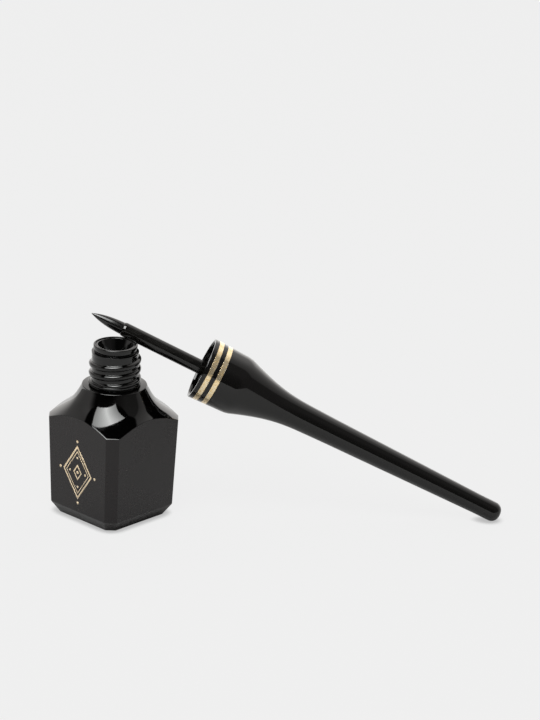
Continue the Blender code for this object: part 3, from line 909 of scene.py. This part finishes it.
def light_from_around():
    """The light from the studio's walls in each direction. The camera sees plain paper."""
    world = bpy.data.worlds.new("studio")
    bpy.context.scene.world = world
    sheet = Sheet(world)
    ray = sheet.add("ShaderNodeTexCoord", "Generated")
    parts = {axis: sheet.add("ShaderNodeSeparateXYZ", axis, {}, {0: ray}) for axis in "XYZ"}
    degrees = 180 / math.pi
    up = sheet.math("ARCSINE", parts["Z"]) * degrees
    bearing = sheet.math("ARCTAN2", parts["Y"], parts["X"]) * degrees
    turn = sheet.math("FRACT", (bearing - WALLS_START) / 360)

    def round_about(levels, scale):
        """The levels by bearing, on a ramp that holds them as shares of the scale."""
        stops = [((angle - WALLS_START) / 360, level / scale) for angle, level in levels]
        return sheet.add("ShaderNodeValToRGB", 0, {"stops": stops}, {0: turn}) * scale

    walls = round_about(WALL_LEVELS, 2.0)
    wall_top = round_about(WALL_TOPS, 90.0)
    backdrop = round_about(BACKDROP_LEVELS, 1.0)
    walls = walls * (0.86 + 0.16 * sheet.rise(up, 20.0, 44.0))
    walls = walls * (1 - sheet.rise(up - wall_top, -WALL_EDGE, WALL_EDGE))
    walls = walls + backdrop * (1 - sheet.rise(up, 12.0, 26.0))
    seen = sheet.add("ShaderNodeLightPath", "Is Camera Ray")
    sheet.feed(sheet.found("ShaderNodeBackground"), {
        "Color": sheet.mixed(seen, sheet.tinted((1.0, 0.975, 0.95), walls),
                             tone(PAPER, PAPER, PAPER)),
        "Strength": 1.0})


def make_softbox(name, share, away, seen_in_gloss):
    """The softbox high in front, with a bright core down its middle that fades to its sides.
    It is made twice, because matt surfaces get only a share of what gloss mirrors. Its level
    is the same from any distance, because its energy goes with its area."""
    width, tall = SOFTBOX_WIDTH * away, SOFTBOX_TALL * away
    lamp = bpy.data.lights.new(name, "AREA")
    lamp.shape = "RECTANGLE"
    lamp.size, lamp.size_y = width, tall
    lamp.energy = LAMP_ENERGY_BY_AREA * width * tall
    sheet = Sheet(lamp)
    across = sheet.add("ShaderNodeSeparateXYZ", "X", {}, {
        0: sheet.add("ShaderNodeNewGeometry", "Parametric")})
    from_core = (across - SOFTBOX_CORE).math("ABSOLUTE") * SOFTBOX_WIDTH
    fade = (from_core * -SOFTBOX_FADE).math("EXPONENT")
    sheet.feed(sheet.found("ShaderNodeEmission"), {
        "Color": sheet.tinted((0.985, 1.0, 0.985), share * SOFTBOX_LEVEL * fade),
        "Strength": 1.0})
    item = bpy.data.objects.new(name, lamp)
    out = Vector((math.cos(SOFTBOX_HEIGHT) * math.cos(SOFTBOX_BEARING),
                  math.cos(SOFTBOX_HEIGHT) * math.sin(SOFTBOX_BEARING),
                  math.sin(SOFTBOX_HEIGHT)))
    side = Vector((-math.sin(SOFTBOX_BEARING), math.cos(SOFTBOX_BEARING), 0))
    rise = side.cross(-out)
    turn = Matrix((side, rise, out)).transposed().to_4x4()
    spot = OBJECT_MIDDLE + out * away + rise * (SOFTBOX_LIFT * away)
    item.matrix_world = Matrix.Translation(spot) @ turn
    item.visible_camera = False
    item.visible_diffuse = not seen_in_gloss
    item.visible_glossy = seen_in_gloss
    bpy.context.scene.collection.objects.link(item)


def make_camera():
    """The camera, at the photograph's viewing angle."""
    camera = bpy.data.cameras.new("camera")
    camera.lens = 200.0
    camera.sensor_width = 36.0
    item = bpy.data.objects.new("camera", camera)
    place = Matrix.Translation(CAMERA_SPOT * MM)
    turn = Matrix.Rotation(CAMERA_TURN, 4, "Z")
    tilt = Matrix.Rotation(CAMERA_TILT, 4, "X")
    roll = Matrix.Rotation(CAMERA_ROLL, 4, "Z")
    item.matrix_world = place @ turn @ tilt @ roll
    bpy.context.scene.collection.objects.link(item)
    bpy.context.scene.camera = item


make_floor()
light_from_around()
make_softbox("softbox", 0.38, 2.0, False)
make_softbox("softbox_in_gloss", 0.78, 1.9, True)
make_camera()
bpy.context.scene.view_settings.view_transform = "Standard"
